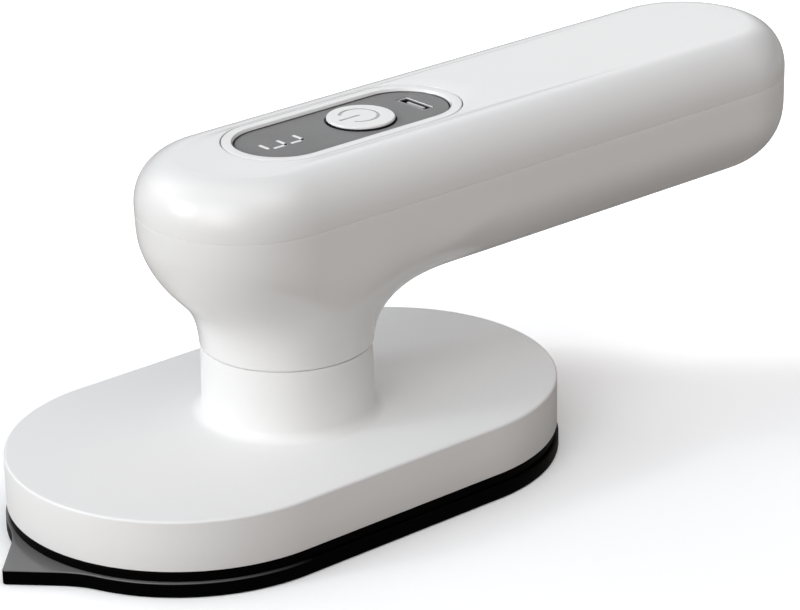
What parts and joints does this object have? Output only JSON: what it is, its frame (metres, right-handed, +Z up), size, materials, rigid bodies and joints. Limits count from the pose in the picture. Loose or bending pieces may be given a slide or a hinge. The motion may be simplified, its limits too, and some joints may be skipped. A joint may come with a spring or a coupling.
{
  "type": "mini handheld heat press",
  "caption": "Small handheld heat press: rounded white head with a pointed black sole, and a swivelling battery handle with a grey control panel and push button.",
  "frame": {"origin": "point of the sole's face right below the swivel axis of the handle", "axes": "+Z up out of the sole along the swivel axis, +X along the handle away from the sole's pointed tip, +Y to the left of that direction"},
  "size_m": [0.2167, 0.0776, 0.0772],
  "materials": {
    "white_gloss_plastic": "gloss",
    "white_satin_plastic": "satin",
    "black_coated_aluminium": "gloss",
    "black_heat_resin": "satin",
    "grey_panel_plastic": "satin",
    "bright_steel": "satin",
    "heater_sheath": "heat-tinted satin",
    "bush_resin": "matt",
    "insulation_fibre": "fibrous",
    "sensor_ceramic": "matt",
    "board_laminate": "satin",
    "black_plastic": "matt",
    "cell_sleeve": "satin",
    "nickel_strip": "satin",
    "light_guide_resin": "clear",
    "led_package": "satin",
    "silicone_sleeve": "matt"
  },
  "bodies": {
    "base": {"sole_plate": "black_coated_aluminium", "heating_element": "heater_sheath", "thermistor": "sensor_ceramic", "thermal_fuse": "nickel_strip", "clamp_plate": "bright_steel", "clamp_screw_front": "bright_steel", "clamp_screw_rear": "bright_steel", "insulation_pad": "insulation_fibre", "heat_shield": "black_heat_resin", "sole_screw_1": "bright_steel", "sole_screw_2": "bright_steel", "sole_screw_3": "bright_steel", "sole_screw_4": "bright_steel", "base_cover": "white_satin_plastic", "swivel_bush": "bush_resin", "wave_washer": "bright_steel", "heater_lead_left": "silicone_sleeve", "heater_lead_right": "silicone_sleeve"},
    "handle": {"handle_lower_shell": "white_gloss_plastic", "handle_upper_shell": "white_gloss_plastic", "pivot_tube": "bright_steel", "pivot_screw_1": "bright_steel", "pivot_screw_2": "bright_steel", "pivot_screw_3": "bright_steel", "retaining_ring": "bright_steel", "handle_screw_1": "bright_steel", "handle_screw_2": "bright_steel", "handle_screw_3": "bright_steel", "battery_cradle": "black_plastic", "battery_cell_left": "cell_sleeve", "battery_cell_right": "cell_sleeve", "battery_link_strip": "nickel_strip", "battery_tab_left": "nickel_strip", "battery_tab_right": "nickel_strip", "main_board": "board_laminate", "board_screw_1": "bright_steel", "board_screw_2": "bright_steel", "board_screw_3": "bright_steel", "board_screw_4": "bright_steel", "tact_switch": "black_plastic", "led_1": "led_package", "led_2": "led_package", "led_3": "led_package", "light_guide": "light_guide_resin", "charge_port": "bright_steel", "lead_bundle": "silicone_sleeve", "lead_connector": "black_plastic", "control_panel": "grey_panel_plastic", "panel_bezel": "white_gloss_plastic"},
    "button": {"power_button": "white_gloss_plastic", "switch_plunger": "black_plastic"}
  },
  "joints": [
    {"name": "handle_swivel", "type": "hinge", "parent": "base", "child": "handle", "pos_m": [0, 0, 0.0322], "axis": [0, 0, 1], "range_deg": [-90, 90]},
    {"name": "power_button_press", "type": "slide", "parent": "handle", "child": "button", "axis": [0, 0, -1], "range_m": [0, 0.0005], "stiffness_N_per_m": 800, "springref_m": -0.0005}
  ]
}
